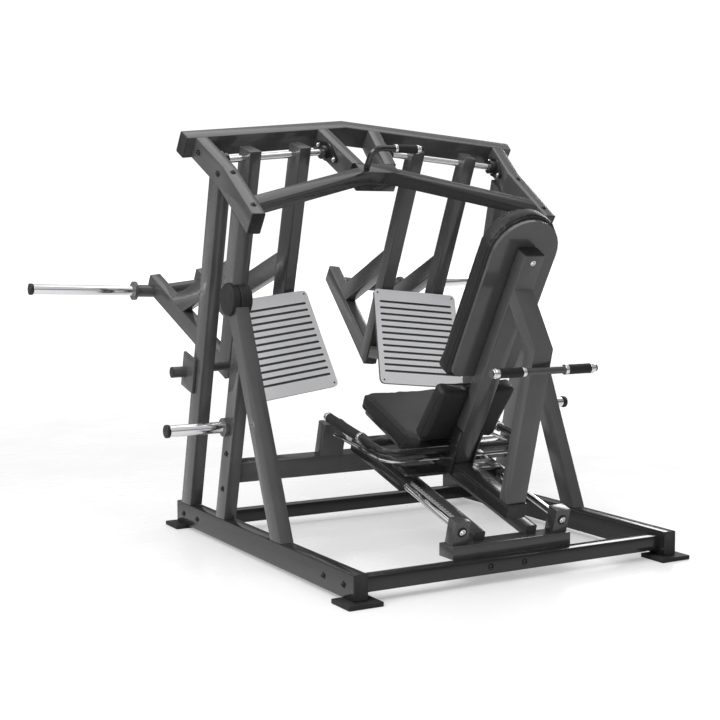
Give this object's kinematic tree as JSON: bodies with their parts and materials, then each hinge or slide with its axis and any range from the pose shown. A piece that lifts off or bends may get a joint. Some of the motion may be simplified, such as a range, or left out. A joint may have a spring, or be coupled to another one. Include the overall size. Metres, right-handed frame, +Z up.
{
  "type": "plate-loaded leg press machine",
  "caption": "Plate-loaded leg press with independent overhead swing arms, slotted footplates and a padded seat that slides on inclined guide rods.",
  "frame": {"origin": "on the floor, on the centre plane, under the middle of the overall length: the bottom centre of the bounding box", "axes": "+Z up, +Y the way the seated user faces, towards the footplates, +X to the user's right"},
  "size_m": [2.5784, 2.4268, 1.8758],
  "materials": {
    "grey_paint": "gloss dark grey powder coat",
    "black_paint": "gloss near-black powder coat",
    "black_rubber": "matte black rubber",
    "chrome": "polished chrome",
    "satin_steel": "satin sheet metal",
    "leatherette": "matte black leatherette over foam"
  },
  "bodies": {
    "frame": {"a_frame_left": "grey_paint", "a_frame_right": "grey_paint", "arm_stop_left": "grey_paint", "arm_stop_right": "grey_paint", "back_beam": "grey_paint", "base_rail_left": "black_paint", "base_rail_right": "black_paint", "bearing_inner_left": "black_paint", "bearing_inner_right": "black_paint", "bearing_outer_left": "black_paint", "bearing_outer_right": "black_paint", "foot_front_left": "black_rubber", "foot_front_right": "black_rubber", "foot_rear_left": "black_rubber", "foot_rear_right": "black_rubber", "frame_hub_left": "black_paint", "frame_hub_right": "black_paint", "front_beam": "grey_paint", "front_cross_member": "black_paint", "guide_end_beam": "grey_paint", "guide_rod_left": "chrome", "guide_rod_right": "chrome", "inner_beam_left": "grey_paint", "inner_beam_right": "grey_paint", "position_rack": "satin_steel", "raised_cross_beam": "grey_paint", "rear_cross_member": "black_paint", "rear_post_left": "grey_paint", "rear_post_right": "grey_paint", "side_beam_left": "grey_paint", "side_beam_right": "grey_paint", "stop_bumper_left": "black_rubber", "stop_bumper_right": "black_rubber", "storage_horn_left": "chrome", "storage_horn_right": "chrome", "top_handle": "grey_paint", "top_handle_grip": "black_rubber", "upper_post_left": "grey_paint", "upper_post_right": "grey_paint"},
    "arm_left": {"arm_frame_left": "grey_paint", "arm_shaft_left": "chrome", "footplate_left": "satin_steel", "load_horn_left": "chrome"},
    "arm_right": {"arm_frame_right": "grey_paint", "arm_shaft_right": "chrome", "footplate_right": "satin_steel", "load_horn_right": "chrome"},
    "seat": {"seat_carriage": "grey_paint", "seat_pad": "leatherette", "lumbar_pad": "leatherette", "back_pad": "leatherette", "back_support": "grey_paint", "back_handlebar": "grey_paint", "back_grip_left": "black_rubber", "back_grip_right": "black_rubber", "side_handle_bar": "grey_paint", "side_grip_left": "black_rubber", "side_grip_right": "black_rubber"},
    "release": {"seat_release_bar": "chrome"}
  },
  "joints": [
    {"name": "arm_left_swing", "type": "hinge", "parent": "frame", "child": "arm_left", "pos_m": [0, 0.26662, 1.73681], "axis": [0.9848, 0.1422, 0.0996], "range_deg": [0, 40]},
    {"name": "arm_right_swing", "type": "hinge", "parent": "frame", "child": "arm_right", "pos_m": [0, 0.26662, 1.73681], "axis": [0.9848, -0.1422, -0.0996], "range_deg": [0, 40]},
    {"name": "seat_slide", "type": "slide", "parent": "frame", "child": "seat", "axis": [0, 0.9613, 0.2756], "range_m": [-0.24, 0.08]},
    {"name": "release_squeeze", "type": "hinge", "parent": "seat", "child": "release", "pos_m": [0, -0.62235, 0.428], "axis": [1, 0, 0], "range_deg": [-1.2, 3]}
  ]
}
